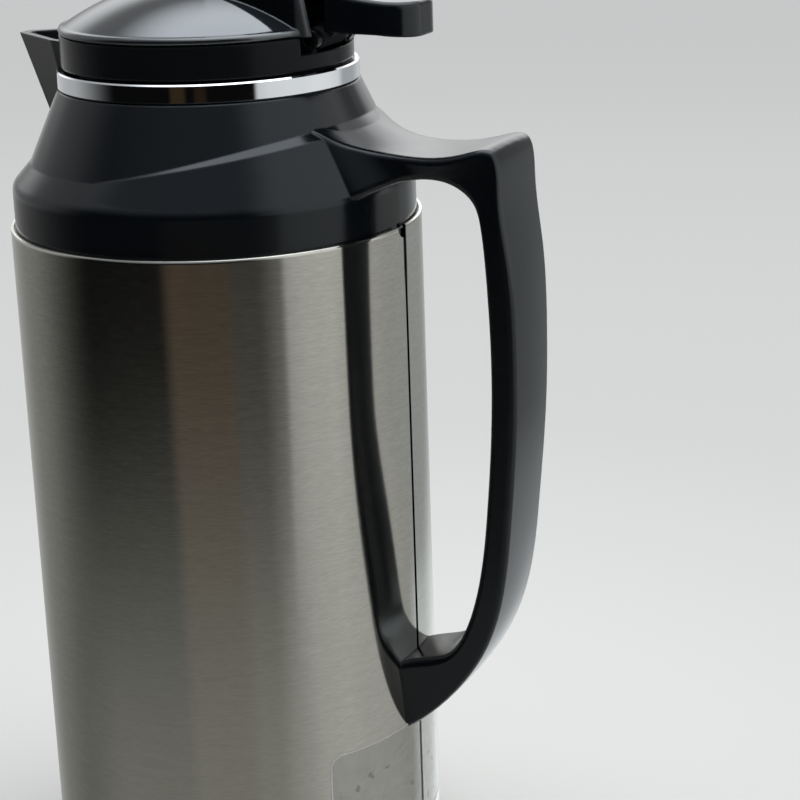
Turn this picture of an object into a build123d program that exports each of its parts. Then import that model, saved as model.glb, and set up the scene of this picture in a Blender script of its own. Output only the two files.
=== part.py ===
from build123d import *
import os
from math import cos, radians, sin, tan

# Thermal carafe with a flip lid: a glass vacuum liner in a rolled steel casing, one dark
# moulding for shoulder, pouring beak and handle, and a screw-in stopper that carries a
# hinged lid with a thumb lever. Millimetres. The origin is on the carafe's axis, on the
# surface that it stands on. +Z is up, +X points to the handle, -X to the beak.

os.makedirs("parts", exist_ok=True)

# ---- driving dimensions -------------------------------------------------------------

# steel casing
CASING_R = 59.0         # outside of the steel sheet
SHEET = 0.8             # thickness of the sheet
SHEET_IN = CASING_R - SHEET
BASE_TOP = 14.0         # where the steel begins, above the base moulding
RIM_Z = 204.0           # top edge of the steel; heights above and below it are RIM_Z +/-
SEAM_GAP = 1.0          # open joint of the rolled sheet, behind the handle
SEAM_CORNER = 3.5       # rounded corner of the sheet at the top of the joint

# shoulder
BAND_R = 57.6           # upright band, just inside the steel
CREASE_Z = RIM_Z + 11.8     # top of the band
KINK_R, KINK_Z = 52.0, RIM_Z + 18.0     # where the skirt meets the neck cone
NECK_R, NECK_Z = 42.8, RIM_Z + 38.0     # top of the neck cone
BORE_R = 37.5           # bore that the stopper goes into
FLANGE_R = 32.0         # lip above the glass neck
FLANGE_Z = RIM_Z + 11.5
FLANGE_TOP = RIM_Z + 14.5
TUBE_R = 40.2           # outside of the tube round the bore, under the cone
TUCK_IN = 55.6          # inside of the skirt that tucks into the steel
TUCK_LOW = RIM_Z - 16.0

# chrome ring
RING_R, RING_IN = 42.75, 41.35
RING_Z, RING_TOP = RIM_Z + 38.3, RIM_Z + 43.5

# glass liner
LINER_R = 53.5          # outside of the outer wall
LINER_LOW = 22.0        # lowest point of its round bottom
GLASS = 1.6             # thickness of each wall
VACUUM = 3.4            # gap between the walls
GLASS_NECK_R = 35.4
NECK_VACUUM = 1.6       # gap between the walls in the neck
LIP_Z = RIM_Z + 9.0     # top of the glass lip
INNER_R = LINER_R - GLASS - VACUUM
INNER_NECK_R = GLASS_NECK_R - GLASS - NECK_VACUUM

# base
BASE_R = 58.7           # base moulding, just inside the steel
BASE_Z = 1.2            # its underside
BASE_TUCK = BASE_TOP + 12.0     # top of its wall inside the steel
COVER_R = 49.6          # screwed cover in the base
COVER_Z, COVER_T = 4.0, 3.0     # underside and thickness of the cover's plate
FOOT_IN, FOOT_R, FOOT_T = 52.0, 55.6, 3.0   # rubber ring that the carafe stands on
CUSHION_R, CUSHION_IN = 34.0, 12.0      # rubber cup under the liner
SCREW_Z = RIM_Z - 137.0     # screw that holds the handle's foot
SCREW_R, SCREW_HEAD_R = 2.0, 3.8

# stopper
STOPPER_R = BORE_R - 0.35
STOPPER_WALL = 2.5
COLLAR_R = 41.3         # collar above the chrome ring
COLLAR_Z = RING_TOP + 0.6
COLLAR_FRONT = RIM_Z + 53.3     # top of the collar under the lid
COLLAR_BACK = RIM_Z + 48.6      # top of the collar in the hinge notch
NOTCH_ANGLE = 24.0      # half of the notch, seen from above
FLOOR_Z = RIM_Z + 42.0  # floor of the well
SHELF_Z = RIM_Z + 46.5  # shelf inside the collar
PORT_X, PORT_R = -8.0, 9.0      # pouring port
PORT_SEAT = FLOOR_Z + 1.2   # rim of the port
PLUG_FOOT = RIM_Z + 1.0     # lowest face of the stopper
PLUG_R = 29.8           # part of the stopper inside the glass neck
SKIRT_Z = RIM_Z + 18.1  # lowest face of the wide part of the stopper

# lid
LID_R = 41.5
LID_Z = COLLAR_FRONT + 0.2
LID_WALL = 2.0
DOME_R, DOME_Z = 39.9, LID_Z + 2.2      # foot of the dome
DOME_TOP = RIM_Z + 67.3
DECK_Z = RIM_Z + 65.6   # flat deck over the hinge
DECK_W = 17.0           # its half width
DECK_END = 40.4         # its rear end, which leans forward
PIN_X, PIN_Z, PIN_R = 38.0, RIM_Z + 52.0, 1.5
RUN = 0.05              # running clearance on the pin
EASE = 0.3              # play between the stopper or a cover and what it sits in
LEVER_W = 12.0          # half width of the thumb lever
LEVER_X, LEVER_TIP = 41.8, 67.5
PAD_Z = RIM_Z + 54.2    # underside of the thumb pad
ARM_Z, ARM_T = RIM_Z + 57.4, 2.5    # arm of the lever, inside the deck
ARM_W = 5.2             # half width of the arm; the spring sits beside it
BARREL_R = 3.0
EAR_IN, EAR_OUT, EAR_R = 9.5, 12.5, 2.9     # the stopper's two ears, either side of the arm
LID_SCREWS = (16.0, 24.0)       # x of the screws between arm and deck
THREAD_R, HEAD_R = 1.1, 2.2
PLATE_Z = LID_Z + 0.1   # underside of the plate that closes the lid


def ring(r_in, r_out, z_low, z_high):
    """A plain ring about the carafe's axis."""
    with BuildPart() as made:
        with BuildSketch(Plane.XY.offset(z_low)):
            Circle(r_out)
            Circle(r_in, mode=Mode.SUBTRACT)
        extrude(amount=z_high - z_low)
    return made.part


def turned(*points):
    """A solid of revolution about the carafe's axis, from an outline of (radius, height)."""
    with BuildPart() as made:
        with BuildSketch(Plane.XZ):
            with BuildLine():
                Polyline(*points, close=True)
            make_face()
        revolve(axis=Axis.Z)
    return made.part


# ---- steel casing -------------------------------------------------------------------

with BuildPart() as outer_casing:
    add(ring(SHEET_IN, CASING_R, BASE_TOP, RIM_Z))
    chamfer(outer_casing.faces().sort_by(Axis.Z)[-1].edges(), 0.25)
    # the open joint, with one rounded corner at its top
    with BuildSketch(Plane.YZ):
        with Locations((0, RIM_Z / 2)):
            Rectangle(SEAM_GAP, RIM_Z + 2)
        with BuildLine():
            side = Line((0, RIM_Z + 1), (0, RIM_Z - SEAM_CORNER))
            low = Line(side @ 1, (-SEAM_GAP / 2, RIM_Z - SEAM_CORNER))
            corner = RadiusArc(low @ 1, (-SEAM_GAP / 2 - SEAM_CORNER, RIM_Z), SEAM_CORNER)
            Polyline(corner @ 1, (-SEAM_GAP / 2 - SEAM_CORNER, RIM_Z + 1), side @ 0)
        make_face()
    extrude(amount=CASING_R + 1, mode=Mode.SUBTRACT)
    with BuildSketch(Plane.YZ):
        with Locations((0, SCREW_Z)):
            Circle(SCREW_R + 0.2)
    extrude(amount=CASING_R + 1, mode=Mode.SUBTRACT)
outer_casing.part.label = "outer_casing"

# ---- strip behind the joint of the steel --------------------------------------------

with BuildPart() as seam_strip:
    with BuildSketch(Plane.XY.offset(BASE_TUCK + 0.5)):
        Circle(SHEET_IN)
        Circle(SHEET_IN - 1.2, mode=Mode.SUBTRACT)
        with Locations((CASING_R, 0)):
            Rectangle(12, 9, mode=Mode.INTERSECT)
    extrude(amount=TUCK_LOW - BASE_TUCK - 1.0)
    with BuildSketch(Plane.YZ):
        with Locations((0, SCREW_Z)):
            Circle(SCREW_R + 0.2)
    extrude(amount=CASING_R, mode=Mode.SUBTRACT)
seam_strip.part.label = "seam_strip"

# ---- handle -------------------------------------------------------------------------
# The grip is a flat strap, lofted through stations from the root to the foot. A station is
# its outer point and its inner point in side view, measured from the steel's rim, its half
# width at each of them, and the height of the crown on its outer face.

STATIONS = (
    ((38.0, 30.0), (47.0, 7.0), 22.5, 23.5, 3.6),
    ((47.5, 26.1), (54.5, 11.0), 18.6, 21.6, 3.6),
    ((55.0, 23.4), (60.5, 13.6), 15.4, 17.2, 1.8),
    ((62.5, 22.2), (66.5, 15.2), 14.4, 14.4, 0.6),
    ((72.0, 21.8), (74.0, 15.8), 15.2, 14.5, 0.5),
    ((82.5, 23.4), (80.8, 14.1), 15.6, 15.0, 0.5),
    ((90.4, 24.4), (85.0, 10.4), 14.6, 14.8, 0.5),
    ((92.9, 13.5), (87.2, 3.2), 14.6, 14.6, 0.5),
    ((94.8, -4.0), (88.1, -8.0), 14.4, 14.3, 0.6),
    ((96.2, -29.0), (88.9, -30.0), 13.7, 13.7, 0.6),
    ((95.8, -52.0), (88.5, -52.0), 13.3, 13.2, 0.6),
    ((93.7, -79.0), (86.7, -77.0), 12.9, 13.0, 0.6),
    ((91.0, -101.0), (84.0, -98.0), 12.7, 12.8, 0.6),
    ((86.4, -117.0), (79.8, -113.0), 11.9, 12.5, 0.5),
    ((77.2, -132.6), (73.4, -123.1), 10.2, 11.8, 0.4),
    ((57.4, -151.0), (57.4, -128.8), 8.0, 11.6, 0.3),
)
STRAP_ROUND = 1.8       # rounding of the strap's long edges

with BuildPart() as strap:
    for (out_x, out_z), (in_x, in_z), half_out, half_in, crown in STATIONS:
        thickness = Vector(out_x - in_x, 0, out_z - in_z)
        depth = thickness.length
        across = Vector(0, 1, 0)
        station = Plane((in_x, 0, RIM_Z + in_z), x_dir=across, z_dir=across.cross(thickness))
        with BuildSketch(station) as section:
            with BuildLine():
                Polyline((half_out, depth), (half_in, 0), (-half_in, 0), (-half_out, depth))
                ThreePointArc((-half_out, depth), (0, depth + crown), (half_out, depth))
            make_face()
            fillet(section.vertices(), STRAP_ROUND)
    loft()
    # the foot bears on the steel
    with BuildSketch(Plane.XY):
        Circle(CASING_R)
    extrude(amount=TUCK_LOW, mode=Mode.SUBTRACT)
    with BuildSketch(Plane.YZ):
        with Locations((0, SCREW_Z)):
            Circle(SCREW_R)
    extrude(amount=CASING_R + 12, mode=Mode.SUBTRACT)

# ---- pouring beak -------------------------------------------------------------------

BEAK_TIP = -61.0
BEAK_TOP = RIM_Z + 50.5
TROUGH_Z = RIM_Z + 41.4     # floor of the trough in the beak


def prow(z, back_x, back_w, waist_x, waist_w, tip_x, tip_w):
    """One level of the beak, seen from above: a wedge with a blunt tip."""
    with BuildSketch(Plane.XY.offset(z)) as level:
        with BuildLine():
            Polyline(
                (back_x, back_w), (waist_x, waist_w), (tip_x, tip_w),
                (tip_x, -tip_w), (waist_x, -waist_w), (back_x, -back_w), close=True,
            )
        make_face()
    return level.sketch


with BuildPart() as beak:
    add(prow(RIM_Z + 20, -34, 7, -42, 6, -50.4, 1.5))
    add(prow(BEAK_TOP, -34, 19, -42, 15.5, BEAK_TIP, 2.4))
    loft(ruled=True)

with BuildPart() as trough:
    add(prow(TROUGH_Z, -36, 11, -42, 9, -55.0, 0.8))
    add(prow(BEAK_TOP + 1, -36, 16, -42, 13.6, BEAK_TIP + 2.4, 1.4))
    loft(ruled=True)

# ---- shoulder, beak and handle in one moulding --------------------------------------

WING_ANGLE = 100.0      # the wings run from the handle's root to this far round
WING_LOW = Vector(49.0, 0, RIM_Z + 27.5)    # lower edge of the wing's bevel, over the handle
WING_HIGH = Vector(45.1, 0, RIM_Z + 31.1)   # inner edge of the bevel, inside the cone
WING_R, WING_Z = 49.7, RIM_Z + 18.4     # inner edge of the bevel at the wings' ends
CREASE_ROUND = 4.0      # soft fold between the band and the slope above it
FOLD_R, FOLD_Z = BAND_R - 0.55, CREASE_Z + 0.4      # where the wings rise out of that fold


def wing_slice(radius, z, middle):
    """A level or tilted slice of the wings, from one end round the handle to the other."""
    ends = Vector(radius * cos(radians(WING_ANGLE)), 0, z)
    half = radius * sin(radians(WING_ANGLE))
    run = middle - ends
    with BuildSketch(Plane(ends, x_dir=run, z_dir=run.cross(Vector(0, 1, 0)))) as level:
        with BuildLine():
            ThreePointArc((0, -half), (run.length, 0), (0, half))
            Line((0, half), (0, -half))
        make_face()
    return level.sketch


with BuildPart() as wings:
    add(wing_slice(FOLD_R, FOLD_Z, Vector(FOLD_R, 0, FOLD_Z)))
    add(wing_slice(KINK_R, KINK_Z, WING_LOW))
    add(wing_slice(WING_R, WING_Z, WING_HIGH))
    loft(ruled=True)

with BuildPart() as shoulder_handle:
    add(turned(
        (0, TUCK_LOW), (SHEET_IN, TUCK_LOW), (SHEET_IN, RIM_Z - 1), (BAND_R, RIM_Z - 1),
        (BAND_R, CREASE_Z), (KINK_R, KINK_Z), (NECK_R, NECK_Z), (RING_IN, NECK_Z + 0.3),
        (RING_IN, RING_TOP - 0.3), (0, RING_TOP - 0.3),
    ))
    fold = shoulder_handle.edges().filter_by(lambda edge: abs(edge.center().Z - CREASE_Z) < 0.01)
    fillet(fold.filter_by(GeomType.CIRCLE), CREASE_ROUND)
    add(wings.part)
    add(beak.part)
    add(strap.part)
    # hollow inside, open downwards, with a tube left round the bore
    add(turned(
        (0, TUCK_LOW - 1), (TUCK_IN, TUCK_LOW - 1), (TUCK_IN, CREASE_Z - 3.3),
        (KINK_R - 2.4, KINK_Z - 2.4), (TUBE_R + 1.8, NECK_Z - 5), (TUBE_R, NECK_Z - 5),
        (TUBE_R, FLANGE_Z), (0, FLANGE_Z),
    ), mode=Mode.SUBTRACT)
    add(turned(
        (0, FLANGE_Z - 1), (FLANGE_R, FLANGE_Z - 1), (FLANGE_R, FLANGE_TOP), (BORE_R, FLANGE_TOP),
        (BORE_R, COLLAR_Z - EASE), (COLLAR_R + EASE, COLLAR_Z - EASE), (COLLAR_R + EASE, BEAK_TOP + 1),
        (0, BEAK_TOP + 1),
    ), mode=Mode.SUBTRACT)
    add(trough.part, mode=Mode.SUBTRACT)
shoulder_handle.part.label = "shoulder_handle"

# ---- chrome ring --------------------------------------------------------------------

with BuildPart() as neck_ring:
    edge = 0.4
    add(turned(
        (RING_IN, RING_Z), (RING_R - edge, RING_Z), (RING_R, RING_Z + edge), (RING_R, RING_TOP - edge),
        (RING_R - edge, RING_TOP), (RING_IN, RING_TOP),
    ))
    add(beak.part, mode=Mode.SUBTRACT)
neck_ring.part.label = "neck_ring"

# ---- double-walled glass liner ------------------------------------------------------


def bottle(radius, neck_r, low, top):
    """A solid bottle: round bottom, straight body, sloping shoulder and straight neck."""
    body_low, body_top, neck_low = low + 0.82 * radius, RIM_Z - 30, RIM_Z - 3
    with BuildPart() as made:
        with BuildSketch(Plane.XZ):
            with BuildLine():
                directions = ((1, 0), (0, 1))
                Spline((0, low), (radius, body_low), tangents=directions, tangent_scalars=(1.3, 1.3))
                body = Line((radius, body_low), (radius, body_top))
                slope = Spline(body @ 1, (neck_r, neck_low), tangents=((0, 1), (0, 1)))
                Polyline(slope @ 1, (neck_r, top), (0, top), (0, low))
            make_face()
        revolve(axis=Axis.Z)
    return made.part


INNER_LOW = LINER_LOW + GLASS + VACUUM

with BuildPart() as liner_outer_wall:
    add(bottle(LINER_R, GLASS_NECK_R, LINER_LOW, LIP_Z - GLASS))
    # evacuation tip, where the glass was sealed off
    with Locations((0, 0, LINER_LOW - 3)):
        Cone(bottom_radius=1.2, top_radius=3.5, height=8)
    add(bottle(LINER_R - GLASS, GLASS_NECK_R - GLASS, LINER_LOW + GLASS, LIP_Z), mode=Mode.SUBTRACT)
liner_outer_wall.part.label = "liner_outer_wall"

with BuildPart() as liner_inner_wall:
    add(bottle(INNER_R, INNER_NECK_R, INNER_LOW, LIP_Z - 1))
    # the lip turns out and meets the outer wall
    add(ring(INNER_NECK_R - GLASS, GLASS_NECK_R, LIP_Z - GLASS, LIP_Z))
    chamfer(liner_inner_wall.faces().sort_by(Axis.Z)[-1].edges(), 0.4)
    add(bottle(INNER_R - GLASS, INNER_NECK_R - GLASS, INNER_LOW + GLASS, LIP_Z), mode=Mode.SUBTRACT)
liner_inner_wall.part.label = "liner_inner_wall"

# ---- pads between the two glass walls -----------------------------------------------

with BuildPart() as wall_spacers:
    for turn in (60, 180, 300):
        with BuildSketch(Plane.YZ.rotated((0, 0, turn))):
            with Locations((0, RIM_Z - 130)):
                Circle(3)
        extrude(amount=LINER_R)
    add(ring(INNER_R, LINER_R - GLASS, LINER_LOW, RIM_Z), mode=Mode.INTERSECT)
wall_spacers.part.label = "wall_spacers"

# ---- gasket between the glass lip and the shoulder ----------------------------------

with BuildPart() as neck_gasket:
    inside, outside, hem = FLANGE_R + 0.2, TUBE_R - 0.4, GLASS_NECK_R + 3
    add(turned(
        (inside, LIP_Z), (inside, FLANGE_Z), (outside, FLANGE_Z), (outside, FLANGE_Z - 2),
        (hem, FLANGE_Z - 2.5), (hem, LIP_Z - 6), (GLASS_NECK_R, LIP_Z - 6), (GLASS_NECK_R, LIP_Z),
    ))
neck_gasket.part.label = "neck_gasket"

# ---- base moulding ------------------------------------------------------------------

with BuildPart() as base_ring:
    tuck_in = SHEET_IN - 2.2
    bore = COVER_R + EASE
    add(turned(
        (bore, BASE_Z), (BASE_R - 2.1, BASE_Z), (BASE_R, BASE_Z + 3.8), (BASE_R, BASE_TOP),
        (SHEET_IN, BASE_TOP), (SHEET_IN, BASE_TUCK), (tuck_in, BASE_TUCK), (tuck_in, BASE_TOP - 2),
        (bore, BASE_TOP - 2),
    ))
    add(ring(FOOT_IN, FOOT_R, 0, FOOT_T), mode=Mode.SUBTRACT)
base_ring.part.label = "base_ring"

with BuildPart() as foot_ring:
    add(ring(FOOT_IN, FOOT_R, 0, FOOT_T))
    chamfer(foot_ring.faces().sort_by(Axis.Z)[0].edges(), 0.5)
foot_ring.part.label = "foot_ring"

# ---- screwed cover in the base ------------------------------------------------------

with BuildPart() as base_cover:
    add(ring(COVER_R - 3.5, COVER_R, COVER_Z - 2, BASE_TOP - 3))
    with BuildSketch(Plane.XY.offset(COVER_Z)):
        Circle(COVER_R)
    extrude(amount=COVER_T)
    # bar across the recess, to turn the cover by
    with BuildSketch(Plane.XY.offset(COVER_Z - 2)):
        Rectangle(2 * COVER_R - 4, 7)
    extrude(amount=2)
base_cover.part.label = "base_cover"

with BuildPart() as liner_cushion:
    add(ring(CUSHION_IN, CUSHION_R, COVER_Z + COVER_T, LINER_LOW + 11))
    add(bottle(LINER_R, GLASS_NECK_R, LINER_LOW, LIP_Z), mode=Mode.SUBTRACT)
liner_cushion.part.label = "liner_cushion"

# ---- screw in the handle's foot -----------------------------------------------------

with BuildPart() as foot_screw:
    head_x = SHEET_IN - 3.6
    with BuildSketch(Plane.YZ.offset(head_x)):
        with Locations((0, SCREW_Z)):
            Circle(SCREW_HEAD_R)
    extrude(amount=2.1)
    with BuildSketch(Plane.YZ.offset(head_x)):
        with Locations((0, SCREW_Z)):
            Circle(SCREW_R)
    extrude(amount=15)
foot_screw.part.label = "foot_screw"

# ---- stopper ------------------------------------------------------------------------

WELL_R = STOPPER_R - STOPPER_WALL

with BuildPart() as stopper_body:
    collar_in = COLLAR_R - STOPPER_WALL
    add(turned(
        (0, SKIRT_Z), (STOPPER_R, SKIRT_Z), (STOPPER_R, COLLAR_Z), (COLLAR_R, COLLAR_Z),
        (COLLAR_R, COLLAR_FRONT), (collar_in, COLLAR_FRONT), (collar_in, SHELF_Z), (WELL_R, SHELF_Z),
        (WELL_R, FLOOR_Z), (0, FLOOR_Z),
    ))
    chamfer(stopper_body.edges().filter_by(GeomType.CIRCLE).group_by(SortBy.RADIUS)[-1], 0.3)
    # hollow below the floor
    with BuildSketch(Plane.XY.offset(SKIRT_Z)):
        Circle(WELL_R)
    extrude(amount=FLOOR_Z - STOPPER_WALL - SKIRT_Z, mode=Mode.SUBTRACT)
    # pouring tube, with a raised seat at the floor
    with BuildSketch(Plane.XY.offset(PLUG_FOOT)):
        with Locations((PORT_X, 0)):
            Circle(PORT_R + 1.8)
    extrude(amount=PORT_SEAT - PLUG_FOOT)
    with BuildSketch(Plane.XY.offset(PLUG_FOOT)):
        with Locations((PORT_X, 0)):
            Circle(PORT_R)
    extrude(amount=PORT_SEAT - PLUG_FOOT, mode=Mode.SUBTRACT)
    # window towards the beak
    window_top = COLLAR_FRONT - 1.6
    with BuildSketch(Plane.YZ.offset(-COLLAR_R - 1)):
        with Locations((0, (SHELF_Z + window_top) / 2)):
            RectangleRounded(26, window_top - SHELF_Z, 1.5)
    extrude(amount=8, mode=Mode.SUBTRACT)
    # notch for the hinge
    with BuildSketch(Plane.XY.offset(COLLAR_BACK)):
        with BuildLine():
            reach = COLLAR_R + 1
            spread = reach * tan(radians(NOTCH_ANGLE))
            Polyline((0, 0), (reach, spread), (reach, -spread), close=True)
        make_face()
    extrude(amount=COLLAR_FRONT - COLLAR_BACK, mode=Mode.SUBTRACT)
    # two ears that hold the hinge pin
    for ear_y in (-EAR_IN, EAR_OUT):
        with BuildSketch(Plane.XZ.offset(-ear_y)):
            with BuildLine():
                Polyline(
                    (PIN_X - 6, SHELF_Z), (PIN_X - EAR_R, PIN_Z), (PIN_X + EAR_R, PIN_Z),
                    (PIN_X, SHELF_Z), close=True,
                )
            make_face()
            with Locations((PIN_X, PIN_Z)):
                Circle(EAR_R)
                Circle(PIN_R, mode=Mode.SUBTRACT)
        extrude(amount=EAR_OUT - EAR_IN)
stopper_body.part.label = "stopper_body"

with BuildPart() as stopper_bottom:
    # cup that reaches into the glass neck
    cup_in, rim_out = PLUG_R - 1.8, WELL_R - 0.05
    add(turned(
        (0, PLUG_FOOT), (PLUG_R, PLUG_FOOT), (PLUG_R, SKIRT_Z), (rim_out, SKIRT_Z),
        (rim_out, SKIRT_Z + 2), (cup_in, SKIRT_Z + 2), (cup_in, PLUG_FOOT + 2), (0, PLUG_FOOT + 2),
    ))
    with BuildSketch(Plane.XY.offset(PLUG_FOOT)):
        with Locations((PORT_X, 0)):
            Circle(PORT_R + 2)
    extrude(amount=2, mode=Mode.SUBTRACT)
stopper_bottom.part.label = "stopper_bottom"

with BuildPart() as stopper_insulation:
    foam_low, foam_step, foam_top = PLUG_FOOT + 2.2, SKIRT_Z + 2.2, FLOOR_Z - STOPPER_WALL - 0.1
    add(turned(
        (0, foam_low), (cup_in - 0.1, foam_low), (cup_in - 0.1, foam_step), (WELL_R - 0.1, foam_step),
        (WELL_R - 0.1, foam_top), (0, foam_top),
    ))
    with BuildSketch(Plane.XY.offset(PLUG_FOOT)):
        with Locations((PORT_X, 0)):
            Circle(PORT_R + 2)
    extrude(amount=FLOOR_Z - PLUG_FOOT, mode=Mode.SUBTRACT)
stopper_insulation.part.label = "stopper_insulation"

with BuildPart() as stopper_gasket:
    seal_low, seal_top = FLANGE_TOP + EASE, SKIRT_Z - EASE
    add(ring(PLUG_R + EASE, STOPPER_R - 0.3, seal_low, seal_top))
    # lips of the gasket
    add(ring(STOPPER_R - 1.8, STOPPER_R, seal_low + 0.9, seal_top - 0.9), mode=Mode.SUBTRACT)
stopper_gasket.part.label = "stopper_gasket"

# ---- hinge --------------------------------------------------------------------------

with BuildPart() as hinge_pin:
    with BuildSketch(Plane.XZ):
        with Locations((PIN_X, PIN_Z)):
            Circle(PIN_R)
    extrude(amount=EAR_OUT, both=True)
hinge_pin.part.label = "hinge_pin"

# ---- spring that shuts the lid ------------------------------------------------------

COIL_R, WIRE_R, COIL_PITCH, COIL_TURNS = 2.2, 0.4, 0.86, 2.92

with BuildPart() as coil:
    with BuildLine():
        turns = Helix(pitch=COIL_PITCH, height=COIL_PITCH * COIL_TURNS, radius=COIL_R)
        leg_end = turns @ 0 - 2.6 * (turns % 0)
        Line(turns @ 0, leg_end)
        Line(turns @ 1, turns @ 1 + 6.5 * (turns % 1))
    with BuildSketch(Plane(leg_end, z_dir=turns % 0)):
        RegularPolygon(WIRE_R, 6)
    sweep(is_frenet=True)

with BuildPart() as lid_spring:
    with Locations(Plane((PIN_X, ARM_W + 0.8, PIN_Z), x_dir=(0, 0, -1), z_dir=(0, 1, 0)).location):
        add(coil.part)
lid_spring.part.label = "lid_spring"

# ---- lid ----------------------------------------------------------------------------

dome_sphere = (DOME_R**2 + (DOME_TOP - DOME_Z)**2) / (2 * (DOME_TOP - DOME_Z))
inner_sphere = dome_sphere - LID_WALL
inner_foot = DOME_R - 1.7
inner_z = DOME_TOP - dome_sphere + (inner_sphere**2 - inner_foot**2) ** 0.5

with BuildPart() as deck:
    # tongue from the top of the dome to the hinge
    with BuildSketch(Plane.XZ):
        with BuildLine():
            Polyline((-8, LID_Z), (DECK_END, LID_Z), (DECK_END - 2.4, DECK_Z), (-8, DECK_Z), close=True)
        make_face()
    extrude(amount=DECK_W, both=True)
    upright = deck.edges().filter_by(Axis.Z)
    fillet(upright, DECK_W - 1)
    leaning = deck.edges().filter_by(lambda edge: abs(edge.tangent_at(0).Z) > 0.9).group_by(Axis.X)[-1]
    fillet(leaning, 1.3)
    fillet(deck.faces().sort_by(Axis.Z)[-1].edges(), 1.0)

with BuildPart() as lid_dome:
    with BuildSketch(Plane.XZ):
        with BuildLine():
            Polyline((0, LID_Z), (LID_R, LID_Z), (LID_R, DOME_Z - 0.4), (DOME_R, DOME_Z))
            RadiusArc((DOME_R, DOME_Z), (0, DOME_TOP), -dome_sphere)
            Line((0, DOME_TOP), (0, LID_Z))
        make_face()
    revolve(axis=Axis.Z)
    chamfer(lid_dome.edges().filter_by(Plane.XY).group_by(SortBy.RADIUS)[-1], 0.5)
    add(deck.part)
    with BuildSketch(Plane.XZ):
        with BuildLine():
            rim_in = LID_R - LID_WALL
            Polyline((0, LID_Z), (rim_in, LID_Z), (rim_in, inner_z), (inner_foot, inner_z))
            RadiusArc((inner_foot, inner_z), (0, DOME_TOP - LID_WALL), -inner_sphere)
            Line((0, DOME_TOP - LID_WALL), (0, LID_Z))
        make_face()
    revolve(axis=Axis.Z, mode=Mode.SUBTRACT)
    # room for the lever's arm, open at the rear
    with BuildSketch(Plane.XY.offset(LID_Z)):
        with Locations((10, 0)):
            Rectangle(40, 2 * (DECK_W - LID_WALL), align=(Align.MIN, Align.CENTER))
    extrude(amount=DECK_Z - 2.2 - LID_Z, mode=Mode.SUBTRACT)
    # bosses for the screws
    with BuildSketch(Plane.XY.offset(ARM_Z + ARM_T)):
        for screw_x in LID_SCREWS:
            with Locations((screw_x, 0)):
                Circle(3)
                Circle(THREAD_R, mode=Mode.SUBTRACT)
    extrude(amount=DECK_Z - 2 - ARM_Z - ARM_T)
lid_dome.part.label = "lid_dome"

with BuildPart() as lid_inner:
    add(turned(
        (0, PLATE_Z), (LID_R - LID_WALL - 0.2, PLATE_Z), (LID_R - LID_WALL - 0.2, inner_z - 0.1),
        (inner_foot - 1.7, inner_z - 0.1), (inner_foot - 1.7, PLATE_Z + 1.5), (0, PLATE_Z + 1.5),
    ))
    with BuildSketch(Plane.XY.offset(PLATE_Z)):
        with Locations((29, 0)):
            Rectangle(20, 2 * (DECK_W - LID_WALL) - 0.2, align=(Align.MIN, Align.CENTER))
        with Locations((PORT_X, 0)):
            Circle(THREAD_R + 0.2)
    extrude(amount=3, mode=Mode.SUBTRACT)
lid_inner.part.label = "lid_inner"

with BuildPart() as pad:
    with BuildSketch(Plane.XZ):
        with BuildLine():
            tip, back = (LEVER_TIP, PAD_Z + 7.9), (LEVER_X, PAD_Z + 11.2)
            Polyline(back, (LEVER_X, PAD_Z), (58, PAD_Z - 0.4), (LEVER_TIP, PAD_Z - 1.4), tip)
            ThreePointArc(tip, (56, PAD_Z + 8.7), back)
        make_face()
    extrude(amount=LEVER_W, both=True)
    with BuildSketch(Plane.XY.offset(PAD_Z - 2)) as plan:
        with Locations(((LEVER_X + LEVER_TIP) / 2, 0)):
            Rectangle(LEVER_TIP - LEVER_X, 2 * LEVER_W)
        fillet(plan.vertices().group_by(Axis.X)[0], 2.2)
        fillet(plan.vertices().group_by(Axis.X)[-1], 9.5)
    extrude(amount=20, mode=Mode.INTERSECT)
    top = pad.faces().filter_by(lambda face: face.normal_at(None).Z > 0.9)
    fillet(top.edges(), 1.5)
    under = pad.faces().filter_by(lambda face: face.normal_at(None).Z < -0.9)
    offset(amount=-LID_WALL, openings=under)

with BuildPart() as thumb_lever:
    add(pad.part)
    # arm under the deck, down to the pin and back to the pad
    with BuildSketch(Plane.XZ):
        with BuildLine():
            arm_tip, arm_top, arm_end = LID_SCREWS[0] - 4, ARM_Z + ARM_T, LEVER_X + LID_WALL
            Polyline(
                (arm_tip, ARM_Z), (PIN_X - BARREL_R, ARM_Z), (PIN_X - BARREL_R, PIN_Z),
                (PIN_X + BARREL_R, PIN_Z), (arm_end, PAD_Z), (arm_end, arm_top), (arm_tip, arm_top),
                close=True,
            )
        make_face()
        with Locations((PIN_X, PIN_Z)):
            Circle(BARREL_R)
            Circle(PIN_R + RUN, mode=Mode.SUBTRACT)
    extrude(amount=ARM_W, both=True)
    # barrel on the pin, from the spring to the other ear
    with BuildSketch(Plane.XZ.offset(-ARM_W)):
        with Locations((PIN_X, PIN_Z)):
            Circle(BARREL_R)
            Circle(PIN_R + RUN, mode=Mode.SUBTRACT)
    extrude(amount=ARM_W + EAR_IN - EASE)
    with BuildSketch(Plane.XY.offset(ARM_Z)):
        for screw_x in LID_SCREWS:
            with Locations((screw_x, 0)):
                Circle(THREAD_R)
    extrude(amount=ARM_T, mode=Mode.SUBTRACT)
thumb_lever.part.label = "thumb_lever"

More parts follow.
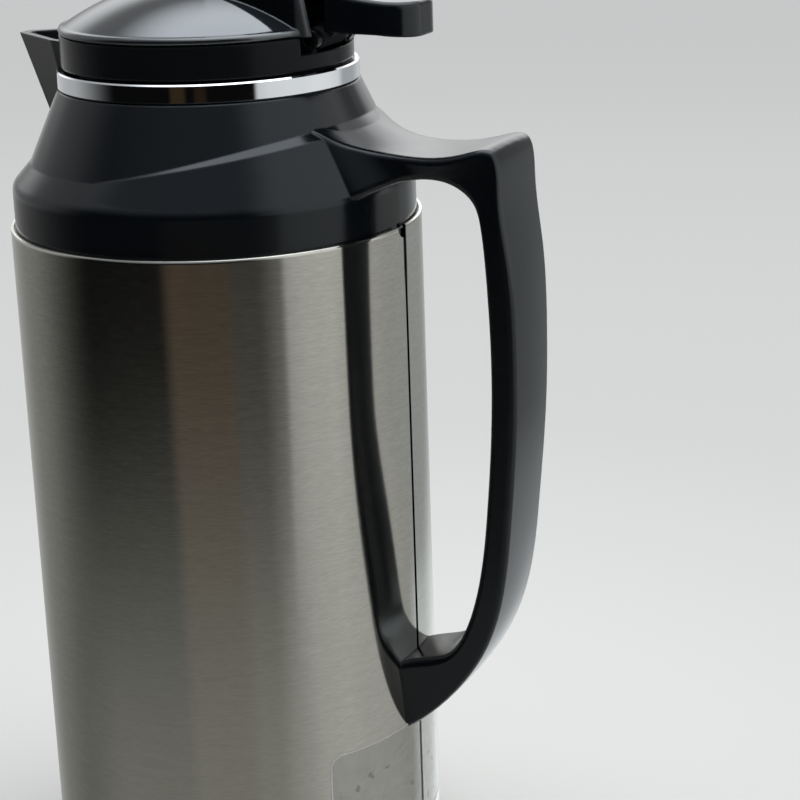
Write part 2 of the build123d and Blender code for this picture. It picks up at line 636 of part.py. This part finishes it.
with BuildPart() as lid_screws:
    for screw_x in LID_SCREWS:
        with BuildSketch(Plane.XY.offset(ARM_Z - 1.8)):
            with Locations((screw_x, 0)):
                Circle(HEAD_R)
        extrude(amount=1.8)
        with BuildSketch(Plane.XY.offset(ARM_Z)):
            with Locations((screw_x, 0)):
                Circle(THREAD_R)
        extrude(amount=6)
lid_screws.part.label = "lid_screws"

# ---- plug that shuts the port -------------------------------------------------------

seal_z = PORT_SEAT + 0.3
plug_z = seal_z + 2.0

with BuildPart() as port_seal:
    with BuildSketch(Plane.XY.offset(seal_z)):
        with Locations((PORT_X, 0)):
            Circle(PORT_R + 2)
    extrude(amount=plug_z - seal_z)
    chamfer(port_seal.faces().sort_by(Axis.Z)[0].edges(), 0.5)
port_seal.part.label = "port_seal"

with BuildPart() as port_plug:
    with BuildSketch(Plane.XY.offset(plug_z)):
        with Locations((PORT_X, 0)):
            Circle(PORT_R + 2.5)
    extrude(amount=2)
    with BuildSketch(Plane.XY.offset(plug_z + 2)):
        with Locations((PORT_X, 0)):
            Circle(4.5)
    extrude(amount=PLATE_Z - plug_z - 2)
    with BuildSketch(Plane.XY.offset(plug_z + 1)):
        with Locations((PORT_X, 0)):
            Circle(THREAD_R)
    extrude(amount=PLATE_Z - plug_z - 1, mode=Mode.SUBTRACT)
port_plug.part.label = "port_plug"

with BuildPart() as plug_screw:
    head_z = PLATE_Z + 1.5
    with BuildSketch(Plane.XY.offset(head_z)):
        with Locations((PORT_X, 0)):
            Circle(HEAD_R + 0.6)
    extrude(amount=1.8)
    with BuildSketch(Plane.XY.offset(head_z)):
        with Locations((PORT_X, 0)):
            Circle(THREAD_R)
    extrude(amount=plug_z + 1 - head_z)
plug_screw.part.label = "plug_screw"

# ---- export -------------------------------------------------------------------------

for piece in (
    outer_casing, seam_strip, shoulder_handle, neck_ring, liner_outer_wall, liner_inner_wall,
    wall_spacers, neck_gasket, liner_cushion, base_ring, base_cover, foot_ring, foot_screw,
    stopper_body, stopper_insulation, stopper_bottom, stopper_gasket, hinge_pin, lid_spring,
    lid_dome, lid_inner, thumb_lever, port_plug, port_seal, lid_screws, plug_screw,
):
    export_step(piece.part, f"parts/{piece.part.label}.step")
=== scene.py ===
import math

import bpy
from mathutils import Matrix, Vector


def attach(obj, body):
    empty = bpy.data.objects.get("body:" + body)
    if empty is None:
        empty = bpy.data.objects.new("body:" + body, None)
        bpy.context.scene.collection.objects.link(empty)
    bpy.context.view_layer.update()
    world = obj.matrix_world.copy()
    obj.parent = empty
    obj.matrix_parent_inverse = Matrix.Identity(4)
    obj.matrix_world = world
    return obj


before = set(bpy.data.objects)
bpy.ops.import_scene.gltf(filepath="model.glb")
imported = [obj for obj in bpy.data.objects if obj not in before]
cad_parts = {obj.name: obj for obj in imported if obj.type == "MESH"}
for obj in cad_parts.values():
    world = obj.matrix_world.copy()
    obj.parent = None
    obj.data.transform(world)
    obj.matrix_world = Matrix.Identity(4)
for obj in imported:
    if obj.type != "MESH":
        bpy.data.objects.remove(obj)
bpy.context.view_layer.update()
scene = bpy.context.scene
scene.view_settings.view_transform = "Standard"

# ---- camera -------------------------------------------------------------------------

CAMERA_AT = Vector((0.2926, -0.5214, 0.3324))
AIM_AZIMUTH = math.radians(29.3 + 90 - 4.88)    # direction of view, seen from above
AIM_DOWN = math.radians(17.44)
ROLL = math.radians(-1.93)

ahead = Vector((
    math.cos(AIM_AZIMUTH) * math.cos(AIM_DOWN),
    math.sin(AIM_AZIMUTH) * math.cos(AIM_DOWN),
    -math.sin(AIM_DOWN),
))
level = ahead.cross(Vector((0, 0, 1))).normalized()
upward = level.cross(ahead)
right = level * math.cos(ROLL) + upward * math.sin(ROLL)
above = upward * math.cos(ROLL) - level * math.sin(ROLL)

lens = bpy.data.cameras.new("camera")
lens.sensor_width = 36
lens.lens = 94.5
lens.clip_start = 0.01
camera = bpy.data.objects.new("camera", lens)
scene.collection.objects.link(camera)
camera.matrix_world = Matrix((
    (right.x, above.x, -ahead.x, CAMERA_AT.x),
    (right.y, above.y, -ahead.y, CAMERA_AT.y),
    (right.z, above.z, -ahead.z, CAMERA_AT.z),
    (0, 0, 0, 1),
))
scene.camera = camera


# ---- shader maths -------------------------------------------------------------------

class Wire:
    """An output socket with arithmetic. make() adds any other node to the same tree."""

    def __init__(self, tree, socket):
        self.tree, self.socket = tree, socket

    def make(self, kind, inputs=None, out=0, **settings):
        node = self.tree.nodes.new(kind)
        for name, value in settings.items():
            setattr(node, name, value)
        for name, value in (inputs or {}).items():
            if isinstance(value, Wire):
                self.tree.links.new(value.socket, node.inputs[name])
            else:
                node.inputs[name].default_value = value
        return Wire(self.tree, node.outputs[out])

    def maths(self, operation, *values, clamp=False):
        inputs = {i: value for i, value in enumerate((self, *values))}
        return self.make("ShaderNodeMath", inputs, operation=operation, use_clamp=clamp)

    def __add__(self, other):
        return self.maths("ADD", other)

    def __sub__(self, other):
        return self.maths("SUBTRACT", other)

    def __mul__(self, other):
        return self.maths("MULTIPLY", other)

    def __truediv__(self, other):
        return self.maths("DIVIDE", other)

    def __rsub__(self, other):
        return (self * -1) + other

    __radd__ = __add__
    __rmul__ = __mul__

    def step(self, low, high):
        """0 below low, 1 above high, smooth between them."""
        inputs = {0: self, 1: low, 2: high}
        return self.make("ShaderNodeMapRange", inputs, interpolation_type="SMOOTHSTEP")

    def blend(self, first, second):
        """first where this is 0, second where it is 1, for colours."""
        return self.make("ShaderNodeMix", {0: self, 6: first, 7: second}, out=2, data_type="RGBA")

    def noise(self, scale, detail=2.0, roughness=0.5):
        """Noise from 0 to 1, with this as its coordinates."""
        inputs = {"Vector": self, "Scale": scale, "Detail": detail, "Roughness": roughness}
        return self.make("ShaderNodeTexNoise", inputs)

    def tint(self, red, green, blue):
        """This number as a colour."""
        return self.make("ShaderNodeVectorMath", {0: self, 1: (red, green, blue)}, operation="MULTIPLY")

    def plus(self, other):
        """Sum of two colours."""
        return self.make("ShaderNodeVectorMath", {0: self, 1: other}, operation="ADD")

    def times(self, other):
        """Product of two colours."""
        return self.make("ShaderNodeVectorMath", {0: self, 1: other}, operation="MULTIPLY")

    def bump(self, strength, distance, normal=None):
        """A normal from this as a height, over another normal where one is given."""
        inputs = {"Height": self, "Strength": strength, "Distance": distance}
        if normal is not None:
            inputs["Normal"] = normal
        return self.make("ShaderNodeBump", inputs)


def surface(name, color, metallic=0.0, roughness=0.4, **fixed):
    """A new material: its shader and the object's coordinates, in metres."""
    material = bpy.data.materials.new(name)
    material.use_nodes = True
    shader = material.node_tree.nodes["Principled BSDF"]
    shader.inputs["Base Color"].default_value = (*color, 1)
    shader.inputs["Metallic"].default_value = metallic
    shader.inputs["Roughness"].default_value = roughness
    for key, value in fixed.items():
        shader.inputs[key.replace("_", " ")].default_value = value
    start = Wire(material.node_tree, None)
    return material, shader, start.make("ShaderNodeTexCoord", out=3)


def feed(shader, **wires):
    """Links varying values to the shader."""
    for key, wire in wires.items():
        wire.tree.links.new(wire.socket, shader.inputs[key.replace("_", " ")])


# ---- materials ----------------------------------------------------------------------

def around(place):
    """The turn about the carafe's axis, 1 all round and 0 at the handle, with z, x and y."""
    x = place.make("ShaderNodeSeparateXYZ", {0: place})
    y, z = (Wire(x.tree, x.socket.node.outputs[i]) for i in (1, 2))
    turn = y.maths("ARCTAN2", x) * (0.5 / math.pi)
    return turn, z, x, y


RIM = 0.204         # top edge of the steel casing
CASING_R = 0.059
PIN = (0.038, 0.0, RIM + 0.052)     # middle of the hinge pin
DECK_BACK = 0.0355  # where the end of the lid's deck begins
SHELL = (0.0026, 0.0040, 0.0058)    # the dark plastic of shoulder, handle and lid


def steel():
    """Rolled stainless sheet, brushed round the casing."""
    material, shader, place = surface(
        "steel_brushed", (0.592, 0.59, 0.55), 1.0, 0.18, Anisotropic=0.75, Anisotropic_Rotation=0.25,
    )
    turn, z, x, y = around(place)
    # brush lines run round the casing: long along the turn, fine in height
    fine_lines = place.make("ShaderNodeCombineXYZ", {0: turn * 110.0, 1: z * 2600.0, 2: 0.0})
    broad_lines = place.make("ShaderNodeCombineXYZ", {0: turn * 30.0, 1: z * 700.0, 2: 1.7})
    grain = fine_lines.noise(1.0, 3.0, 0.6)
    broad = broad_lines.noise(1.0, 3.0, 0.55)
    haze = place.noise(22.0, 4.0, 0.55)
    lines = (grain * 0.7 + broad * 0.3).step(0.25, 0.75)
    brushed = lines.blend((0.53, 0.528, 0.488, 1), (0.652, 0.652, 0.607, 1))
    # painted shade: beside the joint the steel is painted black, in place of the shade and dark
    # reflection of sheet edges that turn in, widest at its top
    from_joint = turn.maths("ABSOLUTE") * (2 * math.pi * CASING_R)
    painted_joint_shade = (1.0 - from_joint.step(0.0009, 0.0012)) * z.step(RIM - 0.022, RIM - 0.012)
    painted_joint_shade = painted_joint_shade.maths("MAXIMUM", 1.0 - from_joint.step(0.0006, 0.0009))
    feed(shader, Base_Color=painted_joint_shade.blend(brushed, (0.01, 0.01, 0.01, 1)))
    feed(shader, Roughness=0.07 + grain * 0.06 + broad * 0.02 + haze * 0.03)
    # the sheet lies a little flat beside its joint, and its top edge is rolled over
    beside = 1.0 - turn.maths("ABSOLUTE").step(4 / 360, 32 / 360)
    flat = beside * z.step(RIM - 0.110, RIM - 0.045) * -0.0024
    rolled = ((z - (RIM - 0.0012)) / 0.0010).maths("MAXIMUM", 0.0)
    form = (flat - rolled * rolled * 0.0005).bump(1.0, 1.0)
    feed(shader, Normal=(grain * 0.8 + broad * 0.2).bump(0.10, 0.00002, form))
    return material


def gloss(name, color, roughness=0.16, peel=0.05, ior=1.5, dull_pin=False, dull_end=False):
    """Dark glossy moulded plastic, with the faint waviness and the dust that it shows. It may be
    dull round the hinge pin, where it rubs and holds grease, or at the end of the lid's deck."""
    material, shader, place = surface(
        name, color, 0.0, roughness, IOR=ior, Specular_Tint=(0.88, 0.95, 1.0, 1),
    )
    waves = place.noise(260.0, 2.0, 0.5)
    haze = place.noise(30.0, 5.0, 0.6)
    specks = place.noise(3800.0, 1.0, 0.5).step(0.70, 0.80)
    dusty = tuple(part * 2.2 + 0.01 for part in color)
    feed(shader, Base_Color=(specks * 0.35 + haze * 0.15).blend((*color, 1), (*dusty, 1)))
    rough = haze * 0.10 + specks * 0.2 + (roughness - 0.05)
    if dull_pin:
        # the pin lies along y, so only x and z count
        from_pin = place.make("ShaderNodeVectorMath", {0: place, 1: PIN}, operation="SUBTRACT")
        from_pin = from_pin.tint(1, 0, 1)
        reach = from_pin.make("ShaderNodeVectorMath", {0: from_pin}, out=1, operation="LENGTH")
        rough = rough + (1.0 - reach.step(0.0036, 0.0050)) * 0.8
    if dull_end:
        rough = rough + around(place)[2].step(DECK_BACK, DECK_BACK + 0.0020) * 0.5
    feed(shader, Roughness=rough)
    # a moulding has no sharp edges: each catches a thin line of light
    edges = place.make("ShaderNodeBevel", {"Radius": 0.0008}, samples=6)
    feed(shader, Normal=waves.bump(peel, 0.0003, edges))
    return material


def satin(name, color, roughness=0.5, grain_scale=1800.0, depth=0.25, metallic=0.0):
    """Fine-grained surface: moulded texture, rubber, foam or plain metal."""
    material, shader, place = surface(name, color, metallic, roughness)
    grain = place.noise(grain_scale, 3.0, 0.6)
    haze = place.noise(40.0, 4.0, 0.6)
    darker, lighter = (tuple(min(1, part * by) for part in color) for by in (0.85, 1.15))
    feed(shader, Base_Color=haze.blend((*darker, 1), (*lighter, 1)))
    feed(shader, Roughness=haze * 0.12 + (roughness - 0.06))
    feed(shader, Normal=grain.bump(depth, 0.0001))
    return material


def chrome():
    """Polished chrome with a trace of handling."""
    material, shader, place = surface("chrome_mirror", (0.86, 0.86, 0.86), 1.0, 0.04)
    haze = place.noise(60.0, 4.0, 0.6)
    fine = place.noise(900.0, 2.0, 0.5)
    feed(shader, Roughness=haze * 0.05 + fine * 0.02 + 0.01)
    feed(shader, Base_Color=haze.blend((0.80, 0.83, 0.87, 1), (0.86, 0.90, 0.95, 1)))
    return material


def silvered():
    """Blown glass, silvered on the vacuum side."""
    material, shader, place = surface(
        "glass_silvered", (0.82, 0.83, 0.84), 0.9, 0.06, Coat_Weight=1.0, Coat_Roughness=0.02,
    )
    waves = place.noise(45.0, 2.0, 0.5)
    feed(shader, Roughness=waves * 0.06 + 0.03)
    feed(shader, Normal=waves.bump(0.15, 0.002))
    return material


looks = {
    "steel": steel(),
    "shell": gloss("plastic_shell", SHELL),
    "lid": gloss("plastic_lid", SHELL, 0.08, 0.03, 2.25, dull_end=True),
    "collar": gloss("plastic_collar", (0.0046, 0.0054, 0.0068), 0.20, 0.03, 1.25),
    "lever": gloss("plastic_lever", SHELL, 0.10, 0.03, 1.5, dull_pin=True),
    "inner": satin("plastic_inner", (0.02, 0.022, 0.026), 0.45),
    "base": satin("plastic_base", (0.018, 0.02, 0.024), 0.42, 2400.0, 0.4),
    "chrome": chrome(),
    "glass": silvered(),
    "fibre": satin("fibre_pads", (0.42, 0.4, 0.36), 0.85, 900.0, 0.6),
    "rubber": satin("rubber_black", (0.022, 0.022, 0.023), 0.62, 1500.0, 0.35),
    "silicone": satin("silicone_grey", (0.62, 0.62, 0.6), 0.4, 1200.0, 0.1),
    "foam": satin("foam_white", (0.8, 0.79, 0.74), 0.9, 700.0, 0.8),
    # painted shade: the hinge pin and the spring are made nearly black because they sit in shade under
    # the lid's deck
    "pin": satin("steel_painted_dark", (0.02, 0.02, 0.021), 0.5, 2600.0, 0.15, 1.0),
    "spring": satin("steel_wire", (0.05, 0.05, 0.053), 0.5, 2600.0, 0.15, 1.0),
    "screw": satin("steel_plain", (0.5, 0.5, 0.49), 0.38, 2200.0, 0.2, 1.0),
}
FINISH = {
    # carafe
    "outer_casing": "steel", "seam_strip": "inner", "shoulder_handle": "shell",
    "neck_ring": "chrome", "foot_screw": "screw",
    "liner_outer_wall": "glass", "liner_inner_wall": "glass", "wall_spacers": "fibre",
    "neck_gasket": "rubber", "liner_cushion": "rubber",
    "base_ring": "base", "base_cover": "base", "foot_ring": "rubber",
    # stopper
    "stopper_body": "collar", "stopper_insulation": "foam", "stopper_bottom": "inner",
    "stopper_gasket": "silicone", "hinge_pin": "pin", "lid_spring": "spring",
    # lid
    "lid_dome": "lid", "lid_inner": "inner", "thumb_lever": "lever", "port_plug": "inner",
    "port_seal": "silicone", "lid_screws": "screw", "plug_screw": "screw",
}
for name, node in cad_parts.items():
    node.data.materials.clear()
    node.data.materials.append(looks[FINISH[name]])

# ---- clear film on the casing, under the handle ---------------------------------------

FILM_R, FILM_LOW, FILM_TOP = CASING_R + 0.00004, 0.0195, 0.0550
FILM_START, FILM_END = -38, 35      # degrees from the handle
FILM_MIDDLE, FILM_HEIGHT = (FILM_LOW + FILM_TOP) / 2, FILM_TOP - FILM_LOW
FILM_CORNER, FILM_THICK = 0.0040, 0.00006
COLUMNS = 720       # columns of the mesh all round


def film():
    """Sheer film over the joint: faint and light, with its cut edge and a few bubbles."""
    material, shader, place = surface("film_clear", (0.8, 0.8, 0.82), 0.0, 0.16)
    turn, z = around(place)[:2]
    # how far a point lies outward of the middles of the corners' rounds
    middle, half = (FILM_START + FILM_END) / 2 / 360, (FILM_END - FILM_START) / 2 / 360
    along = ((turn - middle).maths("ABSOLUTE") - half) * (2 * math.pi * FILM_R) + FILM_CORNER
    up = (z - FILM_MIDDLE).maths("ABSOLUTE") - (FILM_HEIGHT / 2 - FILM_CORNER)
    along, up = along.maths("MAXIMUM", 0.0), up.maths("MAXIMUM", 0.0)
    outward = (along * along + up * up).maths("SQRT")
    edge = outward.step(FILM_CORNER - 0.0007, FILM_CORNER - 0.0004)
    bubbles = place.noise(260.0, 1.0, 0.4).step(0.70, 0.74)
    haze = place.noise(70.0, 3.0, 0.6)
    feed(shader, Base_Color=edge.blend((0.38, 0.378, 0.37, 1), (0.80, 0.80, 0.78, 1)))
    feed(shader, Alpha=haze * 0.10 + bubbles * 0.25 + edge * 0.32 + 0.04)
    feed(shader, Roughness=haze * 0.15 + 0.10)
    feed(shader, Normal=(haze * 0.5 + bubbles).bump(0.1, 0.00004))
    return material


def pick(piece, test):
    """Selects the vertices whose place passes the test, and stays in edit mode."""
    bpy.ops.object.mode_set(mode="EDIT")
    bpy.ops.mesh.select_mode(type="VERT")
    bpy.ops.mesh.select_all(action="DESELECT")
    bpy.ops.object.mode_set(mode="OBJECT")
    for vertex in piece.data.vertices:
        vertex.select = test(vertex.co)
    bpy.ops.object.mode_set(mode="EDIT")


bpy.ops.object.select_all(action="DESELECT")
bpy.ops.mesh.primitive_cylinder_add(
    vertices=COLUMNS, radius=FILM_R, depth=FILM_HEIGHT, end_fill_type="NOTHING",
    location=(0, 0, FILM_MIDDLE),
)
clear_film = bpy.context.object
clear_film.name = "clear_film"
bpy.ops.object.transform_apply(location=True, rotation=True, scale=True)
start, end = math.radians(FILM_START), math.radians(FILM_END)
column = 2 * math.pi / COLUMNS
pick(clear_film, lambda at: not start - column / 3 < math.atan2(at.y, at.x) < end + column / 3)
bpy.ops.mesh.delete(type="VERT")


def in_columns(at, height, turns):
    """True for a vertex at this height in one of the mesh's columns at these turns."""
    turn = math.atan2(at.y, at.x)
    return abs(at.z - height) < 1e-5 and min(abs(turn - one) for one in turns) < column / 3


# round the corners, a column of the mesh at a time
for count in range(int(FILM_CORNER / (column * FILM_R)) + 1):
    left = FILM_CORNER - count * column * FILM_R
    drop = FILM_CORNER - math.sqrt(FILM_CORNER**2 - left**2)
    turns = (start + count * column, end - count * column)
    for height, shift in ((FILM_TOP, -drop), (FILM_LOW, drop)):
        pick(clear_film, lambda at: in_columns(at, height, turns))
        bpy.ops.transform.translate(value=(0, 0, shift))
bpy.ops.object.mode_set(mode="OBJECT")
thick = clear_film.modifiers.new("thickness", "SOLIDIFY")
thick.thickness, thick.offset = FILM_THICK, 1.0
bpy.ops.object.modifier_apply(modifier=thick.name)
bpy.ops.object.shade_smooth_by_angle(angle=math.radians(30))
clear_film.data.materials.append(film())
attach(clear_film, "carafe")

# ---- floor and light ----------------------------------------------------------------

bpy.ops.object.select_all(action="DESELECT")
bpy.ops.mesh.primitive_circle_add(vertices=96, radius=6.0, fill_type="NGON", location=(0, 0, 0))
floor = bpy.context.object
floor.name = "floor"
paper, shader, place = surface(
    "floor_paper", (0.6, 0.6, 0.59), 0.0, 0.9, Specular_IOR_Level=0.0,
)
# painted light: the paper is painted lightest round the carafe and greyer away from it, as a pool of
# light that falls off
away = place.make("ShaderNodeVectorMath", {0: place}, out=1, operation="LENGTH")
near = away.step(0.1, 0.5).blend((0.68, 0.68, 0.66, 1), (0.585, 0.585, 0.57, 1))
feed(shader, Base_Color=away.step(0.35, 1.9).blend(near, (0.495, 0.495, 0.485, 1)))
floor.data.materials.append(paper)
# what shines sees the studio past the floor
through = place.make("ShaderNodeBsdfTransparent")
glossy = place.make("ShaderNodeLightPath", out="Is Glossy Ray")
solid = Wire(paper.node_tree, shader.outputs[0])
both = place.make("ShaderNodeMixShader", {0: glossy, 1: solid, 2: through})
paper.node_tree.links.new(both.socket, paper.node_tree.nodes["Material Output"].inputs["Surface"])

# The light is set by direction. right_of is the turn in degrees to the right of the camera's
# side of the carafe, and z is the height of the direction: -1 down, 0 level, 1 up.

CAMERA_SIDE = -60.7
BACK_SIDE = math.radians(CAMERA_SIDE + 175)
LAMP_SIDE, LAMP_LEAN = math.radians(CAMERA_SIDE + 140), math.radians(12)
LAMP_EDGE, LAMP_CORE = math.cos(math.radians(43)), math.cos(math.radians(18))
LAMP = (2.7, 2.75, 2.85, 1)
BACKDROP = (0.62, 0.62, 0.61, 1)
WHITE = (1.0, 1.0, 1.0)
# how light the walls are, by the turn from the far side round to the left and on: 0.5 is the
# camera's side
WALLS = (
    (0.00, 0.50), (0.11, 0.26), (0.20, 0.16), (0.29, 0.10), (0.36, 0.10), (0.60, 0.42),
    (0.622, 0.50), (0.672, 0.55), (0.711, 0.50), (0.78, 0.46), (0.82, 0.38), (0.885, 0.38),
    (0.93, 0.58), (1.00, 0.58),
)

world = bpy.data.worlds.new("studio")
world.use_nodes = True
scene.world = world
background = world.node_tree.nodes["Background"]
toward = Wire(world.node_tree, None).make("ShaderNodeTexCoord", out=0)
turn, z, x, y = around(toward)
turned = (turn + (0.5 - CAMERA_SIDE / 360)).maths("FRACT")
right_of = (turned - 0.5) * 360.0
round_left = (right_of * -1).step(75.0, 125.0)


def wall_tones():
    """The walls' own tone, a little warm."""
    ramp = turned.make("ShaderNodeValToRGB", {0: turned})
    stops = ramp.socket.node.color_ramp.elements
    stops[0].position, stops[1].position = WALLS[0][0], WALLS[-1][0]
    stops[0].color = stops[1].color = (*[WALLS[0][1]] * 3, 1)
    for position, tone in WALLS[1:-1]:
        stops.new(position).color = (tone, tone, tone * 0.965, 1)
    return ramp


def dark_side():
    """The near and left side: a low table, and dark screens that stand round the camera."""
    below = 1.0 - z.step(-0.21, -0.17)
    table = (1.0 - z.step(-0.475, -0.285)) * 0.25 + 0.003
    rising = right_of.step(18.0, 33.0) * 0.10
    brown_screen = (right_of.step(-36.0, -27.0) - right_of.step(-1.0, 10.0)) * below
    brown_screen = brown_screen * (z.step(-0.44, -0.30) * 0.65 + 0.35)
    grey_screen = right_of.step(-1.0, 10.0) * below
    # two small brown cards, which the chrome ring picks up
    first_card = right_of.step(-32.0, -28.0) - right_of.step(-21.0, -17.0)
    second_card = (right_of.step(-14.0, -10.0) - right_of.step(-6.0, -1.0)) * 0.5
    cards = (first_card + second_card) * z.step(-0.24, -0.18) * (1.0 - z.step(-0.12, -0.08)) * 0.5
    side = (table + rising * below).tint(1.0, 1.0, 0.93)
    side = side.plus(brown_screen.tint(0.074, 0.054, 0.038))
    side = side.plus(grey_screen.tint(0.056, 0.054, 0.048))
    return side.plus(cards.tint(0.055, 0.032, 0.014))


def lower_studio():
    """Below eye level: light walls to the right and behind, the dark side to the left."""
    near_level = z.step(-0.21, -0.16) * (1.0 - right_of.step(112.0, 122.0))
    near_level = near_level * (right_of.step(60.0, 90.0) * 0.10 + 0.20)
    bright_floor = (1.0 - z.step(-0.46, -0.32)) * right_of.step(114.0, 128.0) * 0.50
    deep = (1.0 - z.step(-0.44, -0.32)) * (1.0 - right_of.step(60.0, 85.0)) * 0.06
    walls = wall_tones().plus((near_level + bright_floor).tint(*WHITE))
    walls = deep.blend(walls, (0.06, 0.06, 0.055, 1))
    cool = right_of.step(112.0, 122.0).blend((*WHITE, 1), (0.96, 1.0, 1.03, 1))
    # the edge of the light wall: it drifts left and softens lower down, and spreads at eye level
    drift = (1.0 - z.step(-0.46, -0.28)) * 4.0
    soft = 1.0 - z.step(-0.46, -0.36)
    spread = z.step(-0.14, -0.09)
    edge_start = 31.5 - drift - soft * 12.0 - spread * 12.0
    edge_end = 36.0 - drift + soft * 6.0 + spread * 10.0
    lit = right_of.step(edge_start, edge_end).maths("MAXIMUM", round_left)
    return lit.blend(dark_side(), cool.times(walls))


def upper_studio():
    """Above eye level: a grey ceiling to the left, a light one to the right and behind."""
    grey = (z.step(0.20, 0.90) * 0.32 + 0.004).tint(0.97, 1.0, 1.06)
    behind = (x * math.cos(BACK_SIDE) + y * math.sin(BACK_SIDE)).step(0.55, 0.90)
    low_light = behind * z.step(0.03, 0.34) * (1.0 - z.step(0.40, 0.62)) * 1.15
    aside = right_of.step(106.0, 120.0) * (1.0 - right_of.step(134.0, 146.0))
    aside = aside * (1.0 - z.step(0.36, 0.60))
    light = low_light * (1.0 - aside) + (0.86 - round_left * 0.45 - aside * 0.55)
    lit = right_of.step(14.0, 44.0).maths("MAXIMUM", round_left)
    return lit.blend(grey, light.tint(*WHITE))


def lamp_light():
    """One large soft lamp overhead, a little behind."""
    across, up = math.sin(LAMP_LEAN), math.cos(LAMP_LEAN)
    level = x * (across * math.cos(LAMP_SIDE)) + y * (across * math.sin(LAMP_SIDE))
    return (level + z * up).step(LAMP_EDGE, LAMP_CORE)


room = z.step(-0.10, 0.02).blend(lower_studio(), upper_studio())
sky = lamp_light().blend(room, LAMP)
# the backdrop is plain and pale, also behind anything clear
path = toward.make("ShaderNodeLightPath", out="Is Camera Ray")
clear = Wire(world.node_tree, path.socket.node.outputs["Is Transmission Ray"])
shown = path.maths("MAXIMUM", clear).blend(sky, BACKDROP)
world.node_tree.links.new(shown.socket, background.inputs["Color"])
